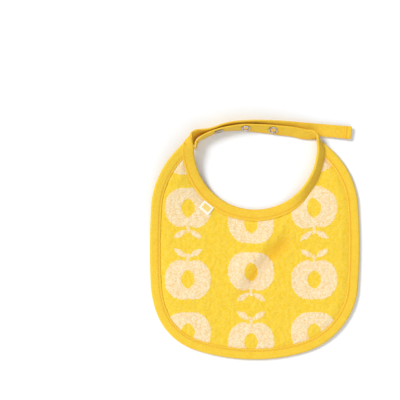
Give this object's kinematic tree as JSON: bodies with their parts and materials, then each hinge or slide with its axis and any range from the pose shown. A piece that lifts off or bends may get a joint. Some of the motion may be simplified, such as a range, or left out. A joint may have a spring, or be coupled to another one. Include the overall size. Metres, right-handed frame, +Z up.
{
  "type": "baby bib",
  "caption": "Terry-knit cloth bib with bound edges, a round neck opening and two neck straps that close with ring snaps, laid flat with the straps unfastened.",
  "frame": {"origin": "bottom centre of the whole object's box, on the table that the bib lies on", "axes": "+Y from the bib's lower hem to its neck, +Z up off the table through the front panel, +X to the right as the front is seen with the neck at the top"},
  "size_m": [0.2178, 0.2486, 0.0176],
  "materials": {
    "front_terry": "warm yellow terry knit with a cream knitted-in fruit pattern",
    "back_terry": "plain warm yellow terry knit",
    "binding_tape": "matt ribbed cotton knit tape",
    "thread": "spun sewing thread, tone on tone",
    "label_ribbon": "white satin woven ribbon with plain yellow stripes",
    "nickel": "bright nickel plate",
    "enamel": "baked yellow enamel, semi-gloss"
  },
  "bodies": {
    "panel": {"front_panel": "front_terry", "back_panel": "back_terry", "outer_binding": "binding_tape", "neck_binding": "binding_tape", "outer_stitching": "thread", "neck_stitching": "thread"},
    "left_strap": {"left_strap": "binding_tape", "left_strap_stitching": "thread", "left_strap_hem_stitching": "thread", "stud": "nickel", "stud_cap": "enamel"},
    "right_strap": {"right_strap": "binding_tape", "right_strap_stitching": "thread", "right_strap_hem_stitching": "thread", "socket_1": "nickel", "socket_2": "nickel", "socket_3": "nickel", "socket_cap_1": "enamel", "socket_cap_2": "enamel", "socket_cap_3": "enamel"},
    "label": {"woven_label": "label_ribbon"}
  },
  "joints": [
    {"name": "left_strap_swing", "type": "hinge", "parent": "panel", "child": "left_strap", "pos_m": [-0.05629, 0.11472, 0.00708], "axis": [0, 0, 1], "range_deg": [0, 110]},
    {"name": "right_strap_lift", "type": "hinge", "parent": "panel", "child": "right_strap", "pos_m": [0.05488, 0.10848, 0.00622], "axis": [0, 0.7071, 0.7071], "range_deg": [0, 100]},
    {"name": "label_flip", "type": "hinge", "parent": "panel", "child": "label", "pos_m": [-0.04777, 0.03649, 0.00517], "axis": [-0.7716, 0.6361, 0], "range_deg": [0, 140]}
  ]
}
